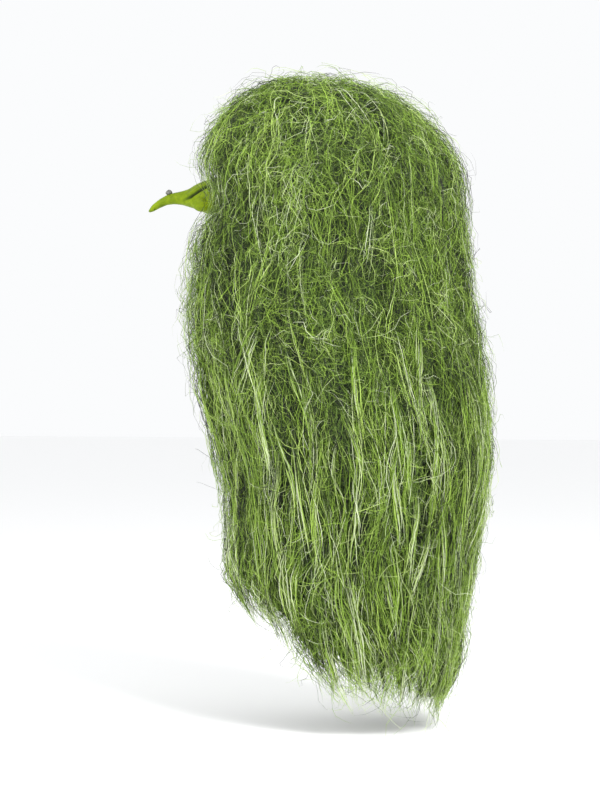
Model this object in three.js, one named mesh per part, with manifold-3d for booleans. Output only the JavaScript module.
// A crooked-nosed latex witch mask with a long teased wig, built as the pieces it is made of.
// Millimetres, +Z up. The face looks towards -Y and the wearer's left is +X.
// The origin is the centre of the flat underside of the foam crown pad, where the mask sits on a head.

import * as THREE from 'three';
import { mergeVertices } from 'three/addons/utils/BufferGeometryUtils.js';
import Module from 'manifold-3d';

const wasm = await Module();
wasm.setup();

// ---------------------------------------------------------------- driving dimensions

// Gap kept between pieces that touch on the real object.
const TOUCH_GAP = 0.3;

// Latex skin.
const LATEX_WALL = 3;
const SKULL_WIDTH = 168;
const SKULL_DEPTH = 206;
const SKULL_MIDDLE_Y = 2;
const TEMPLE_Z = -70;
const NECK_RIM_Z = -310;

// Crown pad, which carries the mask on the head.
const CROWN_PAD_THICKNESS = 12;
const CROWN_PAD_RADIUS = 34;

// Long nose, measured from the face plane to its tip.
const NOSE_LENGTH = 138;
const NOSE_ROOT_Z = -133;
const WART_RADIUS = 5.3;
const WART_ALONG_NOSE = 0.74;

// Openings in the face and the slit at the nape.
const EYE_SPACING = 70;
const EYE_Z = -112;
const EYE_WIDTH = 27;
const EYE_HEIGHT = 13;
const MOUTH_Z = -203;
const MOUTH_WIDTH = 46;
const MOUTH_HEIGHT = 7;
const NOSTRIL_RADIUS = 4.5;
const NOSTRIL_SPACING = 20;
const SLIT_WIDTH = 10;
const SLIT_TOP_Z = -165;

// Foam pads, tapes and straps.
const PAD_THICKNESS = 8;
const TAPE_THICKNESS = 1.5;
const BINDING_WIDTH = 12;
const ANCHOR_WIDTH = 18;
const STRAP_HEIGHT = 15;
const STRAP_THICKNESS = 1.2;
const STRAP_Z = -128;
const STRAP_HALF_SPAN = 44;
const SLIDER_LENGTH = 22;
const SLIDER_WALL = 1.8;
const SLIDER_CLEARANCE = 0.4;
const SLIDER_REST_X = 24;
const TAB_HEIGHT = 25;
const TAB_MIDDLE_Z = -250;
const TAB_LENGTH = 38;
const TAB_ANCHOR_LENGTH = 17;

// Wig foundation.
const CAP_THICKNESS = 1.5;
const WEFT_HEIGHT = 7;
const WEFT_THICKNESS = 2;
const WEFT_COUNT = 5;
const WEFT_FIRST_Z = -30;
const WEFT_PITCH = 30;

// Wig hair.
const HAIR_TOP_Z = 38;
const HAIR_WIDEST_Z = -150;
const HAIR_WIDTH = 360;
const HAIR_DEPTH = 400;
const HAIR_MIDDLE_Y = 50;
const HAIR_END_Z = -905;
const FRONT_LOCK_END_Z = -750;
const SIDE_LOCK_END_Z = -815;
const HAIR_ROOT_GAP = 2;
const FACE_OPENING_WIDTH = SKULL_WIDTH - 18;
const FACE_OPENING_TOP_Z = -45;
const CURTAIN_GAP = 1;

// Hinge lines along which the hair curtains are lifted off the mask.
const HINGE_Z = -75;
const SIDE_HINGE_X = 105;
const BACK_HINGE_Y = 140;
const SIDE_LIFT_DEG = 40;
const BACK_LIFT_DEG = 30;
const LIFT_MARGIN_DEG = 3;

// Facet counts.
const SKIN_AROUND = 28;
const SKIN_ROWS = 12;
const DOME_ROWS = 6;
const NOSE_AROUND = 14;
const WING_AROUND = 12;
const HAIR_AROUND = 28;
const HAIR_ROWS = 10;
const HAIR_DOME_ROWS = 6;

// ---------------------------------------------------------------- derived dimensions

const LATEX_TOP_Z = CROWN_PAD_THICKNESS + TOUCH_GAP + LATEX_WALL;
const FACE_Y = SKULL_MIDDLE_Y - SKULL_DEPTH / 2;
const INNER_OFFSET = -LATEX_WALL;
const LINING_OFFSET = INNER_OFFSET - TOUCH_GAP;
const CAP_OUTER = TOUCH_GAP + CAP_THICKNESS;
const WEFT_INNER = CAP_OUTER + TOUCH_GAP;
const WEFT_OUTER = WEFT_INNER + WEFT_THICKNESS;
const HAIR_ROOT_OFFSET = WEFT_OUTER + HAIR_ROOT_GAP;
const TAB_OUTER = 2 * (TOUCH_GAP + TAPE_THICKNESS);
const FAR = 700;

// Half widths and depths of the latex skin below the temples, from the top down.
const SKIN_STATIONS = [
  { z: TEMPLE_Z, half: SKULL_WIDTH / 2, front: SKULL_DEPTH / 2, back: SKULL_DEPTH / 2 },
  { z: -120, half: SKULL_WIDTH / 2 - 2, front: SKULL_DEPTH / 2, back: SKULL_DEPTH / 2 - 4 },
  { z: -165, half: SKULL_WIDTH / 2 - 8, front: SKULL_DEPTH / 2 - 3, back: SKULL_DEPTH / 2 - 19 },
  { z: -205, half: SKULL_WIDTH / 2 - 18, front: SKULL_DEPTH / 2 - 9, back: SKULL_DEPTH / 2 - 33 },
  { z: -235, half: SKULL_WIDTH / 2 - 28, front: SKULL_DEPTH / 2 - 17, back: SKULL_DEPTH / 2 - 41 },
  { z: -262, half: SKULL_WIDTH / 2 - 28, front: SKULL_DEPTH / 2 - 45, back: SKULL_DEPTH / 2 - 43 },
  { z: NECK_RIM_Z, half: SKULL_WIDTH / 2 - 16, front: SKULL_DEPTH / 2 - 37, back: SKULL_DEPTH / 2 - 31 },
];

// Outer shape of the hair below its widest line: middle, half width and half depth of an oval.
const HAIR_STATIONS = [
  { z: HAIR_WIDEST_Z, middle: HAIR_MIDDLE_Y, half: HAIR_WIDTH / 2, deep: HAIR_DEPTH / 2 },
  { z: -308, middle: HAIR_MIDDLE_Y, half: HAIR_WIDTH / 2 + 5, deep: HAIR_DEPTH / 2 + 16 },
  { z: -443, middle: HAIR_MIDDLE_Y + 22, half: HAIR_WIDTH / 2 + 8, deep: HAIR_DEPTH / 2 + 16 },
  { z: -533, middle: HAIR_MIDDLE_Y + 38, half: HAIR_WIDTH / 2, deep: HAIR_DEPTH / 2 + 5 },
  { z: -623, middle: HAIR_MIDDLE_Y + 37, half: HAIR_WIDTH / 2 - 10, deep: HAIR_DEPTH / 2 - 8 },
  { z: -713, middle: HAIR_MIDDLE_Y + 34, half: HAIR_WIDTH / 2 - 20, deep: HAIR_DEPTH / 2 - 20 },
  { z: -803, middle: HAIR_MIDDLE_Y + 60, half: HAIR_WIDTH / 2 - 40, deep: HAIR_DEPTH / 2 - 60 },
  { z: -860, middle: HAIR_MIDDLE_Y + 65, half: HAIR_WIDTH / 2 - 60, deep: HAIR_DEPTH / 2 - 74 },
  { z: HAIR_END_Z, middle: HAIR_MIDDLE_Y + 80, half: HAIR_WIDTH / 2 - 105, deep: HAIR_DEPTH / 2 - 120 },
];

// Space inside the hair curtains for the mask, the neck and the shoulders.
const HOLLOW_STATIONS = [
  { z: HINGE_Z + 40, middle: 30, half: SKULL_WIDTH / 2 + 14, deep: SKULL_DEPTH / 2 - 8 },
  { z: -200, middle: 30, half: SKULL_WIDTH / 2 + 16, deep: SKULL_DEPTH / 2 - 4 },
  { z: -320, middle: 40, half: HAIR_WIDTH / 2 - 62, deep: HAIR_DEPTH / 2 - 72 },
  { z: -450, middle: 60, half: HAIR_WIDTH / 2 - 50, deep: HAIR_DEPTH / 2 - 50 },
  { z: -600, middle: 78, half: HAIR_WIDTH / 2 - 55, deep: HAIR_DEPTH / 2 - 55 },
  { z: -760, middle: 84, half: HAIR_WIDTH / 2 - 78, deep: HAIR_DEPTH / 2 - 85 },
  { z: HAIR_END_Z - 30, middle: 100, half: HAIR_WIDTH / 2 - 125, deep: HAIR_DEPTH / 2 - 150 },
];

// The nose from inside the face to its tip: share of its length, drop of its middle below the root,
// half height and half width.
const NOSE_STATIONS = [
  { along: -0.2, drop: -4, tall: 31, wide: 24 },
  { along: 0.05, drop: -2, tall: 28, wide: 23 },
  { along: 0.22, drop: 1, tall: 24.5, wide: 20 },
  { along: 0.32, drop: 1.5, tall: 22.5, wide: 18 },
  { along: 0.42, drop: 1, tall: 17.5, wide: 15 },
  { along: 0.5, drop: 2, tall: 13, wide: 12 },
  { along: 0.58, drop: 1.5, tall: 10, wide: 9.5 },
  { along: 0.68, drop: 1.5, tall: 8.2, wide: 8.2 },
  { along: 0.77, drop: 3.5, tall: 7.2, wide: 7.4 },
  { along: 0.86, drop: 9, tall: 6.4, wide: 6.6 },
  { along: 0.94, drop: 15.5, tall: 5.2, wide: 5.2 },
  { along: 0.985, drop: 19.5, tall: 3, wide: 3 },
];
const NOSE_TIP_DROP = 21;

// ---------------------------------------------------------------- solids and surfaces

// A closed three.js geometry as a solid that can be cut and joined.
function solidOf(geometry) {
  const bare = geometry.clone();
  bare.deleteAttribute('normal');
  bare.deleteAttribute('uv');
  const merged = mergeVertices(bare, 1e-4);
  const vertProperties = new Float32Array(merged.attributes.position.array);
  const triVerts = new Uint32Array(merged.index.array);
  return new wasm.Manifold(new wasm.Mesh({ numProp: 3, vertProperties, triVerts }));
}

// A solid as a named mesh of its own material.
function piece(name, solid, look) {
  const mesh = solid.getMesh();
  const geometry = new THREE.BufferGeometry();
  geometry.setAttribute('position', new THREE.BufferAttribute(mesh.vertProperties, 3));
  geometry.setIndex(new THREE.BufferAttribute(mesh.triVerts, 1));
  geometry.computeVertexNormals();
  const result = new THREE.Mesh(geometry, new THREE.MeshStandardMaterial(look));
  result.name = name;
  return result;
}

// Six times the volume that a list of triangles encloses, negative when they face inward.
function signedVolume(points, index) {
  let sum = 0;
  for (let i = 0; i < index.length; i += 3) {
    const cross = new THREE.Vector3().crossVectors(points[index[i + 1]], points[index[i + 2]]);
    sum += points[index[i]].dot(cross);
  }
  return sum;
}

// Closed skin over rings that all have the same number of points, ending in a point at each end.
function loft(rings, firstPoint, lastPoint) {
  const count = rings[0].length;
  const points = [...rings.flat(), firstPoint, lastPoint];
  const first = points.length - 2;
  const last = points.length - 1;
  const index = [];
  for (let i = 0; i < count; i += 1) {
    const next = (i + 1) % count;
    index.push(first, i, next);
    const bottom = (rings.length - 1) * count;
    index.push(last, bottom + next, bottom + i);
    for (let row = 0; row < rings.length - 1; row += 1) {
      const a = row * count + i;
      const b = row * count + next;
      index.push(a, a + count, b + count, a, b + count, b);
    }
  }
  if (signedVolume(points, index) < 0) index.reverse();
  const geometry = new THREE.BufferGeometry().setFromPoints(points);
  geometry.setIndex(index);
  return solidOf(geometry);
}

// Smooth value of every field of a station list at a height, through all the stations.
function sectionAt(stations, z) {
  const last = stations.length - 1;
  const clamped = THREE.MathUtils.clamp(z, stations[last].z, stations[0].z);
  let i = stations.findIndex((s, k) => k < last && clamped >= stations[k + 1].z);
  if (i < 0) i = last - 1;
  const near = [Math.max(i - 1, 0), i, i + 1, Math.min(i + 2, last)].map((k) => stations[k]);
  const span = near[2].z - near[1].z;
  const t = (clamped - near[1].z) / span;
  const section = {};
  for (const key of Object.keys(stations[0])) {
    const before = (near[2][key] - near[0][key]) / (near[2].z - near[0].z);
    const after = (near[3][key] - near[1][key]) / (near[3].z - near[1].z);
    const rise = 2 * t ** 3 - 3 * t ** 2;
    section[key] = near[1][key] * (1 + rise) - near[2][key] * rise
      + span * before * (t ** 3 - 2 * t ** 2 + t) + span * after * (t ** 3 - t ** 2);
  }
  return section;
}

// A prism over an outline, standing along +Z, or turned to run along X or Y and centred there.
function prism(outline, depth) {
  const shape = new THREE.Shape(outline.map(([u, v]) => new THREE.Vector2(u, v)));
  return new THREE.ExtrudeGeometry(shape, { depth, bevelEnabled: false });
}

function prismAlongY(outline, from, to) {
  const geometry = prism(outline, to - from);
  const turn = new THREE.Matrix4().makeBasis(
    new THREE.Vector3(1, 0, 0), new THREE.Vector3(0, 0, 1), new THREE.Vector3(0, -1, 0));
  geometry.applyMatrix4(turn);
  geometry.translate(0, to, 0);
  return solidOf(geometry);
}

function prismAlongX(outline, from, to) {
  const geometry = prism(outline, to - from);
  const turn = new THREE.Matrix4().makeBasis(
    new THREE.Vector3(0, 1, 0), new THREE.Vector3(0, 0, 1), new THREE.Vector3(1, 0, 0));
  geometry.applyMatrix4(turn);
  geometry.translate(from, 0, 0);
  return solidOf(geometry);
}

function prismAlongZ(outline, from, to) {
  const geometry = prism(outline, to - from);
  geometry.translate(0, 0, from);
  return solidOf(geometry);
}

function block(low, high) {
  const size = high.map((v, i) => v - low[i]);
  const geometry = new THREE.BoxGeometry(...size);
  geometry.translate(...low.map((v, i) => v + size[i] / 2));
  return solidOf(geometry);
}

function ellipsoid(centre, radii, segments) {
  const geometry = new THREE.SphereGeometry(1, segments, Math.round(segments / 2));
  geometry.scale(...radii);
  geometry.translate(...centre);
  return solidOf(geometry);
}

// ---------------------------------------------------------------- latex skin

// Soft hump of a given height, centred on one angle and height of the face.
function hump(angle, z, atAngle, atZ, angleSpread, zSpread, height) {
  const u = (angle - atAngle) / angleSpread;
  const v = (z - atZ) / zSpread;
  return height * Math.exp(-u * u - v * v);
}

// How far brow, cheeks, eye sockets, lips and chin stand out of the plain skin.
function relief(angleDeg, z) {
  const side = Math.abs(angleDeg + 90);
  return hump(side, z, 12, EYE_Z + 17, 20, 8, 6)
    + hump(side, z, 22, EYE_Z - 2, 10, 10, -7)
    + hump(side, z, 36, -150, 13, 14, 6)
    + hump(side, z, 0, MOUTH_Z, 16, 12, 5)
    + hump(side, z, 0, MOUTH_Z - 30, 12, 13, 22);
}

// Point of the skin at an angle and a height, moved out by an offset.
function skinPoint(angleDeg, z, offset, relieved = false) {
  const angle = THREE.MathUtils.degToRad(angleDeg);
  const extra = offset + (relieved ? relief(angleDeg, z) : 0);
  const domeHeight = LATEX_TOP_Z - TEMPLE_Z;
  const section = sectionAt(SKIN_STATIONS, z);
  const lift = THREE.MathUtils.clamp((z - TEMPLE_Z) / domeHeight, 0, 1);
  const spread = Math.sqrt(1 - lift * lift);
  const deep = Math.sin(angle) < 0 ? section.front : section.back;
  return new THREE.Vector3(
    (section.half + extra) * spread * Math.cos(angle),
    SKULL_MIDDLE_Y + (deep + extra) * spread * Math.sin(angle),
    lift > 0 ? TEMPLE_Z + (domeHeight + offset) * lift : z,
  );
}

// Closed solid inside the skin moved out by an offset. Every offset has its rings at the same
// heights and angles, so that skins at two offsets never touch.
function skinSolid(offset, overshoot = 0, relieved = false) {
  const domeHeight = LATEX_TOP_Z - TEMPLE_Z;
  const heights = [];
  for (let row = 1; row < DOME_ROWS; row += 1) {
    heights.push(TEMPLE_Z + domeHeight * Math.cos((row * Math.PI) / 2 / DOME_ROWS));
  }
  for (let row = 0; row <= SKIN_ROWS; row += 1) {
    heights.push(THREE.MathUtils.lerp(TEMPLE_Z, NECK_RIM_Z, row / SKIN_ROWS));
  }
  const rings = heights.map((z) => {
    const ring = [];
    for (let i = 0; i < SKIN_AROUND; i += 1) {
      ring.push(skinPoint((i * 360) / SKIN_AROUND - 180, z, offset, relieved));
    }
    return ring;
  });
  if (overshoot > 0) {
    const rim = rings[rings.length - 1];
    rings.push(rim.map((p) => new THREE.Vector3(p.x, p.y, p.z - overshoot)));
  }
  const top = new THREE.Vector3(0, SKULL_MIDDLE_Y, LATEX_TOP_Z + offset);
  return loft(rings, top, new THREE.Vector3(0, SKULL_MIDDLE_Y, NECK_RIM_Z - overshoot));
}

// The skin's own layer between two offsets.
function skinLayer(inner, outer, relieved = false) {
  return skinSolid(outer, 0, relieved).subtract(skinSolid(inner, 1, relieved));
}

// The nose grown by an offset, from one share of its length to another or to its tip.
function noseSolid(offset, from, to) {
  const rings = NOSE_STATIONS.filter((s) => s.along >= from && s.along <= to).map((s) => {
    const ring = [];
    for (let i = 0; i < NOSE_AROUND; i += 1) {
      const angle = (i * 2 * Math.PI) / NOSE_AROUND;
      ring.push(new THREE.Vector3(
        (s.wide + offset) * Math.cos(angle),
        FACE_Y - s.along * NOSE_LENGTH,
        NOSE_ROOT_Z - s.drop + (s.tall + offset) * Math.sin(angle),
      ));
    }
    return ring;
  });
  const middle = (ring) => ring.reduce((sum, p) => sum.add(p), new THREE.Vector3())
    .divideScalar(NOSE_AROUND);
  const root = middle(rings[0]);
  const end = to < 1
    ? middle(rings[rings.length - 1])
    : new THREE.Vector3(0, FACE_Y - NOSE_LENGTH - offset, NOSE_ROOT_Z - NOSE_TIP_DROP);
  return loft(rings, root, end);
}

// Rounded wing over each nostril.
function nostrilWing(side, offset) {
  const radii = [10 + offset, 15 + offset, 10.5 + offset];
  const centre = [side * 14, FACE_Y - 0.3 * NOSE_LENGTH, NOSE_ROOT_Z - 14];
  return ellipsoid(centre, radii, WING_AROUND);
}

function outerSkin() {
  return skinSolid(0, 0, true)
    .add(noseSolid(0, -1, 1))
    .add(nostrilWing(1, 0))
    .add(nostrilWing(-1, 0));
}

function innerSkin() {
  return skinSolid(INNER_OFFSET, 1, true)
    .add(noseSolid(INNER_OFFSET, -1, 0.9))
    .add(nostrilWing(1, INNER_OFFSET))
    .add(nostrilWing(-1, INNER_OFFSET));
}

// An oval or round hole through the face, along Y.
function faceHole(x, z, width, height) {
  const outline = [];
  for (let i = 0; i < 20; i += 1) {
    const angle = (i * Math.PI) / 10;
    outline.push([x + (width / 2) * Math.cos(angle), z + (height / 2) * Math.sin(angle)]);
  }
  return prismAlongY(outline, FACE_Y - 45, FACE_Y + 60);
}

function nostrilHole(side) {
  const outline = [];
  for (let i = 0; i < 12; i += 1) {
    const angle = (i * Math.PI) / 6;
    outline.push([
      (side * NOSTRIL_SPACING) / 2 + NOSTRIL_RADIUS * Math.cos(angle),
      FACE_Y - 0.3 * NOSE_LENGTH + NOSTRIL_RADIUS * Math.sin(angle),
    ]);
  }
  return prismAlongZ(outline, NOSE_ROOT_Z - 40, NOSE_ROOT_Z - 14);
}

// Slit from the neck rim up to a round end, so that the mask can be pulled over a head.
function rearSlit() {
  const outline = [[-SLIT_WIDTH / 2, NECK_RIM_Z - 5], [SLIT_WIDTH / 2, NECK_RIM_Z - 5]];
  for (let i = 0; i <= 8; i += 1) {
    const angle = (i * Math.PI) / 8;
    outline.push([
      (SLIT_WIDTH / 2) * Math.cos(angle),
      SLIT_TOP_Z - SLIT_WIDTH / 2 + (SLIT_WIDTH / 2) * Math.sin(angle),
    ]);
  }
  return prismAlongY(outline, 0, SKULL_DEPTH);
}

function latexMask() {
  let skin = outerSkin().subtract(innerSkin()).subtract(rearSlit());
  for (const side of [-1, 1]) {
    skin = skin.subtract(faceHole((side * EYE_SPACING) / 2, EYE_Z, EYE_WIDTH, EYE_HEIGHT));
    skin = skin.subtract(nostrilHole(side));
  }
  return skin.subtract(faceHole(0, MOUTH_Z, MOUTH_WIDTH, MOUTH_HEIGHT));
}

// Wart on the ridge of the nose, cut to sit on it.
function noseWart() {
  const ridge = NOSE_STATIONS.find((s) => s.along >= WART_ALONG_NOSE);
  const centre = [
    0,
    FACE_Y - WART_ALONG_NOSE * NOSE_LENGTH,
    NOSE_ROOT_Z - ridge.drop + ridge.tall + WART_RADIUS * 0.75,
  ];
  return ellipsoid(centre, [WART_RADIUS, WART_RADIUS, WART_RADIUS], WING_AROUND)
    .subtract(noseSolid(TOUCH_GAP, -1, 1));
}

// Foam that fills the hollow nose behind its tip.
function noseCore() {
  return noseSolid(LINING_OFFSET, 0.45, 0.87);
}

// ---------------------------------------------------------------- pads, strap and closure

// Round foam pad with a flat underside at the origin and a top that fits the latex crown.
function crownPad() {
  const disc = new THREE.CylinderGeometry(CROWN_PAD_RADIUS, CROWN_PAD_RADIUS, 60, 32);
  disc.rotateX(Math.PI / 2);
  disc.translate(0, 0, 30);
  return solidOf(disc).intersect(skinSolid(LINING_OFFSET));
}

// Foam pad glued inside the skin, between two corners of a box.
function liningPad(low, high) {
  return skinLayer(LINING_OFFSET - PAD_THICKNESS, LINING_OFFSET, true).intersect(block(low, high));
}

// Flat tape glued to the back of the skin, between two widths and two heights.
function backTape(widths, heights, offsets) {
  const low = [Math.min(...widths), SKULL_MIDDLE_Y, heights[0]];
  const high = [Math.max(...widths), FAR, heights[1]];
  return skinLayer(offsets[0], offsets[1]).intersect(block(low, high));
}

const LINING_TAPE = [LINING_OFFSET - TAPE_THICKNESS, LINING_OFFSET];

function slitBinding(side) {
  const near = SLIT_WIDTH / 2 + 1;
  const widths = [side * near, side * (near + BINDING_WIDTH)];
  return backTape(widths, [NECK_RIM_Z + 2, SLIT_TOP_Z - 4], LINING_TAPE);
}

// How far back the skin reaches at a width and a height.
function backOfSkin(x, z, offset) {
  const section = sectionAt(SKIN_STATIONS, z);
  const across = x / (section.half + offset);
  return SKULL_MIDDLE_Y + (section.back + offset) * Math.sqrt(1 - across * across);
}

const STRAP_ANCHOR_X = STRAP_HALF_SPAN + TOUCH_GAP;
const STRAP_LOW_Z = STRAP_Z - STRAP_HEIGHT / 2;
const STRAP_Y = backOfSkin(STRAP_ANCHOR_X, STRAP_LOW_Z, LINING_OFFSET - TAPE_THICKNESS);

function strapAnchor(side) {
  const widths = [side * STRAP_ANCHOR_X, side * (STRAP_ANCHOR_X + ANCHOR_WIDTH)];
  const heights = [STRAP_Z - STRAP_HEIGHT / 2 - 3, STRAP_Z + STRAP_HEIGHT / 2 + 3];
  return backTape(widths, heights, LINING_TAPE);
}

// Elastic strap drawn straight across the back of the inside.
function headStrap() {
  return block(
    [-STRAP_HALF_SPAN, STRAP_Y - STRAP_THICKNESS / 2, STRAP_Z - STRAP_HEIGHT / 2],
    [STRAP_HALF_SPAN, STRAP_Y + STRAP_THICKNESS / 2, STRAP_Z + STRAP_HEIGHT / 2],
  );
}

// Plastic slider that the strap runs through.
function strapSlider() {
  const boxAround = (half, grow) => block(
    [SLIDER_REST_X - half, STRAP_Y - STRAP_THICKNESS / 2 - grow, STRAP_Z - STRAP_HEIGHT / 2 - grow],
    [SLIDER_REST_X + half, STRAP_Y + STRAP_THICKNESS / 2 + grow, STRAP_Z + STRAP_HEIGHT / 2 + grow],
  );
  const outer = boxAround(SLIDER_LENGTH / 2, SLIDER_CLEARANCE + SLIDER_WALL);
  return outer.subtract(boxAround(SLIDER_LENGTH, SLIDER_CLEARANCE));
}

const TAB_HEIGHTS = [TAB_MIDDLE_Z - TAB_HEIGHT / 2, TAB_MIDDLE_Z + TAB_HEIGHT / 2];
const TAB_ROOT_X = SLIT_WIDTH / 2 + 4;

function closureLoopPatch() {
  const widths = [TAB_ROOT_X - TAB_LENGTH - 2, -SLIT_WIDTH / 2 - 2];
  return backTape(widths, TAB_HEIGHTS, [TOUCH_GAP, TOUCH_GAP + TAPE_THICKNESS]);
}

function closureTabAnchor() {
  const widths = [TAB_ROOT_X + TOUCH_GAP, TAB_ROOT_X + TAB_ANCHOR_LENGTH];
  return backTape(widths, TAB_HEIGHTS, [TOUCH_GAP, TAB_OUTER]);
}

function closureTab() {
  const widths = [TAB_ROOT_X - TAB_LENGTH, TAB_ROOT_X];
  return backTape(widths, TAB_HEIGHTS, [TAB_OUTER - TAPE_THICKNESS, TAB_OUTER]);
}

// ---------------------------------------------------------------- wig foundation

// Opening for the face, grown by a margin, as an arch that runs forward along -Y.
function faceOpening(margin) {
  const half = FACE_OPENING_WIDTH / 2 + margin;
  const springZ = FACE_OPENING_TOP_Z - 50;
  const rise = FACE_OPENING_TOP_Z + margin - springZ;
  const outline = [[-half, HAIR_END_Z - 60], [half, HAIR_END_Z - 60]];
  for (let i = 0; i <= 12; i += 1) {
    const angle = (i * Math.PI) / 12;
    outline.push([half * Math.cos(angle), springZ + rise * Math.sin(angle)]);
  }
  return prismAlongY(outline, -FAR, SKULL_MIDDLE_Y);
}

// Everything above a line that falls from the temples to the nape.
function aboveNape(frontZ, backZ) {
  const outline = [[-FAR, frontZ], [SKULL_MIDDLE_Y, frontZ], [SKULL_DEPTH / 2, backZ]];
  outline.push([FAR, backZ], [FAR, FAR], [-FAR, FAR]);
  return prismAlongX(outline, -FAR, FAR);
}

function wigCap() {
  return skinLayer(TOUCH_GAP, CAP_OUTER)
    .subtract(faceOpening(2))
    .intersect(aboveNape(-105, SLIT_TOP_Z + 6));
}

// Elastic band along the edge of the cap, around the face.
function hairlineBand() {
  return skinLayer(WEFT_INNER, WEFT_OUTER)
    .subtract(faceOpening(3))
    .intersect(faceOpening(13))
    .intersect(aboveNape(-100, -100));
}

// Row of sewn hair tape around the sides and back of the cap.
function weftRow(row) {
  const z = WEFT_FIRST_Z - row * WEFT_PITCH;
  const nearY = z < -100 ? 50 : 22;
  return skinLayer(WEFT_INNER, WEFT_OUTER)
    .intersect(block([-FAR, nearY, z - WEFT_HEIGHT / 2], [FAR, FAR, z + WEFT_HEIGHT / 2]));
}

// ---------------------------------------------------------------- hair

function ovalRing(section, z) {
  const ring = [];
  for (let i = 0; i < HAIR_AROUND; i += 1) {
    const angle = (i * 2 * Math.PI) / HAIR_AROUND;
    ring.push(new THREE.Vector3(
      section.half * Math.cos(angle),
      section.middle + section.deep * Math.sin(angle),
      z,
    ));
  }
  return ring;
}

// Full outer shape of the hair: a dome over the head, then a long falling mass.
function hairEnvelope() {
  const rings = [];
  const widest = HAIR_STATIONS[0];
  const domeHeight = HAIR_TOP_Z - HAIR_WIDEST_Z;
  for (let row = 1; row < HAIR_DOME_ROWS; row += 1) {
    const angle = (row * Math.PI) / 2 / HAIR_DOME_ROWS;
    const section = { middle: widest.middle * (0.4 + 0.6 * Math.sin(angle)) };
    section.half = widest.half * Math.sin(angle);
    section.deep = widest.deep * Math.sin(angle);
    rings.push(ovalRing(section, HAIR_WIDEST_Z + domeHeight * Math.cos(angle)));
  }
  for (let row = 0; row <= HAIR_ROWS; row += 1) {
    const z = THREE.MathUtils.lerp(HAIR_WIDEST_Z, HAIR_END_Z, row / HAIR_ROWS);
    rings.push(ovalRing(sectionAt(HAIR_STATIONS, z), z));
  }
  const top = new THREE.Vector3(0, widest.middle * 0.4, HAIR_TOP_Z);
  const end = HAIR_STATIONS[HAIR_STATIONS.length - 1];
  return loft(rings, top, new THREE.Vector3(0, end.middle, HAIR_END_Z));
}

// Space that the curtains leave for the mask, neck and shoulders.
function curtainHollow() {
  const top = HOLLOW_STATIONS[0];
  const low = HOLLOW_STATIONS[HOLLOW_STATIONS.length - 1];
  const rings = [];
  for (let row = 0; row <= HAIR_ROWS; row += 1) {
    const z = THREE.MathUtils.lerp(top.z, low.z, row / HAIR_ROWS);
    rings.push(ovalRing(sectionAt(HOLLOW_STATIONS, z), z));
  }
  const first = new THREE.Vector3(0, top.middle, top.z);
  return loft(rings, first, new THREE.Vector3(0, low.middle, low.z));
}

function hairCrown(envelope) {
  return envelope
    .intersect(block([-FAR, -FAR, HINGE_Z + CURTAIN_GAP], [FAR, FAR, FAR]))
    .subtract(skinSolid(HAIR_ROOT_OFFSET))
    .subtract(faceOpening(0));
}

// Room under a roof that falls away from a hinge line, so that a lifted curtain clears the crown.
function roofOutline(hingeAt, liftDeg) {
  const fall = Math.tan(THREE.MathUtils.degToRad(liftDeg + LIFT_MARGIN_DEG));
  return [
    [0, HINGE_Z],
    [hingeAt, HINGE_Z],
    [FAR, HINGE_Z - (FAR - hingeAt) * fall],
    [FAR, -2 * FAR],
    [0, -2 * FAR],
  ];
}

// Hair of the wearer's left side; the right side is its mirror image.
function leftCurtain(envelope, hollow, nearY, farY, endZ) {
  const middle = HAIR_MIDDLE_Y - CURTAIN_GAP / 2;
  const plan = prismAlongZ([[1, -FAR], [FAR + 1, -FAR], [FAR + 1, middle + FAR], [1, middle]], -FAR * 2, 0);
  return envelope
    .intersect(plan)
    .intersect(prismAlongY(roofOutline(SIDE_HINGE_X, SIDE_LIFT_DEG), -FAR, FAR))
    .intersect(block([0, nearY, endZ], [FAR, farY, 0]))
    .subtract(hollow)
    .subtract(skinSolid(HAIR_ROOT_OFFSET, 0, true))
    .subtract(faceOpening(0));
}

function backCurtain(envelope, hollow, lowX, highX) {
  const middle = HAIR_MIDDLE_Y + CURTAIN_GAP / 2;
  const plan = prismAlongZ([[0, middle], [FAR, middle + FAR], [-FAR, middle + FAR]], -FAR * 2, 0);
  return envelope
    .intersect(plan)
    .intersect(prismAlongX(roofOutline(BACK_HINGE_Y, BACK_LIFT_DEG), -FAR, FAR))
    .intersect(block([lowX, SKULL_MIDDLE_Y + SKULL_DEPTH / 2, -FAR * 2], [highX, FAR, 0]))
    .subtract(hollow);
}

function mirrored(solid) {
  return solid.mirror([1, 0, 0]);
}

// ---------------------------------------------------------------- looks

const LATEX = { color: '#9ab52c', roughness: 0.42, metalness: 0 };
const WART = { color: '#6a6a66', roughness: 0.4, metalness: 0 };
const FOAM = { color: '#3a3b3c', roughness: 0.95, metalness: 0 };
const TAPE = { color: '#23261f', roughness: 0.85, metalness: 0 };
const ELASTIC = { color: '#1d1e1f', roughness: 0.8, metalness: 0 };
const PLASTIC = { color: '#111213', roughness: 0.35, metalness: 0 };
const NET = { color: '#20301a', roughness: 0.9, metalness: 0 };
const HAIR = { color: '#73892f', roughness: 0.6, metalness: 0 };

// ---------------------------------------------------------------- assembly

function facePieces() {
  return [
    piece('latex_mask', latexMask(), LATEX),
    piece('nose_wart', noseWart(), WART),
    piece('nose_core', noseCore(), FOAM),
  ];
}

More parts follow.
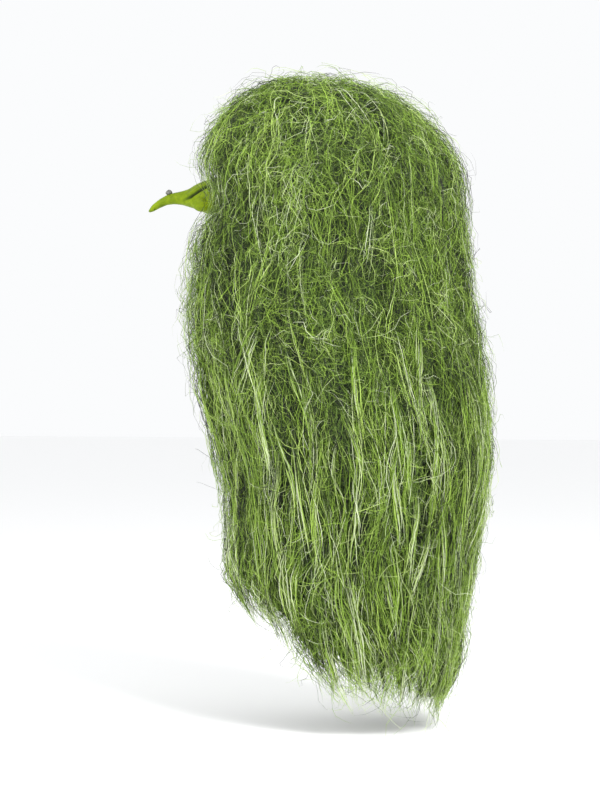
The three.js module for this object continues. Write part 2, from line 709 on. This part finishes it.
function insidePieces() {
  return [
    piece('crown_pad', crownPad(), FOAM),
    piece('forehead_pad', liningPad([-38, -FAR, -80], [38, 0, -52]), FOAM),
    piece('rear_pad', liningPad([-32, 0, -98], [32, FAR, -70]), FOAM),
    piece('temple_pad_left', liningPad([0, -20, -104], [FAR, 22, -76]), FOAM),
    piece('temple_pad_right', liningPad([-FAR, -20, -104], [0, 22, -76]), FOAM),
    piece('slit_binding_left', slitBinding(1), TAPE),
    piece('slit_binding_right', slitBinding(-1), TAPE),
    piece('strap_anchor_left', strapAnchor(1), TAPE),
    piece('strap_anchor_right', strapAnchor(-1), TAPE),
    piece('head_strap', headStrap(), ELASTIC),
    piece('strap_slider', strapSlider(), PLASTIC),
  ];
}

function closurePieces() {
  return [
    piece('closure_loop_patch', closureLoopPatch(), TAPE),
    piece('closure_tab_anchor', closureTabAnchor(), TAPE),
    piece('closure_tab', closureTab(), TAPE),
  ];
}

function wigPieces() {
  const pieces = [
    piece('wig_cap', wigCap(), NET),
    piece('hairline_band', hairlineBand(), ELASTIC),
  ];
  for (let row = 0; row < WEFT_COUNT; row += 1) {
    pieces.push(piece(`weft_row_${row + 1}`, weftRow(row), TAPE));
  }
  return pieces;
}

function hairPieces() {
  const envelope = hairEnvelope();
  const hollow = curtainHollow();
  const splitY = -20;
  const splitX = 65;
  const front = leftCurtain(envelope, hollow, -FAR, splitY - CURTAIN_GAP / 2, FRONT_LOCK_END_Z);
  const side = leftCurtain(envelope, hollow, splitY + CURTAIN_GAP / 2, FAR, SIDE_LOCK_END_Z);
  const backLeft = backCurtain(envelope, hollow, splitX + CURTAIN_GAP / 2, FAR);
  const backCentre = backCurtain(envelope, hollow, -splitX, splitX);
  return [
    piece('hair_crown', hairCrown(envelope), HAIR),
    piece('hair_front_lock_left', front, HAIR),
    piece('hair_side_left', side, HAIR),
    piece('hair_front_lock_right', mirrored(front), HAIR),
    piece('hair_side_right', mirrored(side), HAIR),
    piece('hair_back_left', backLeft, HAIR),
    piece('hair_back_centre', backCentre, HAIR),
    piece('hair_back_right', mirrored(backLeft), HAIR),
  ];
}

const group = new THREE.Group();
group.add(...facePieces(), ...insidePieces(), ...closurePieces(), ...wigPieces(), ...hairPieces());

export default group;
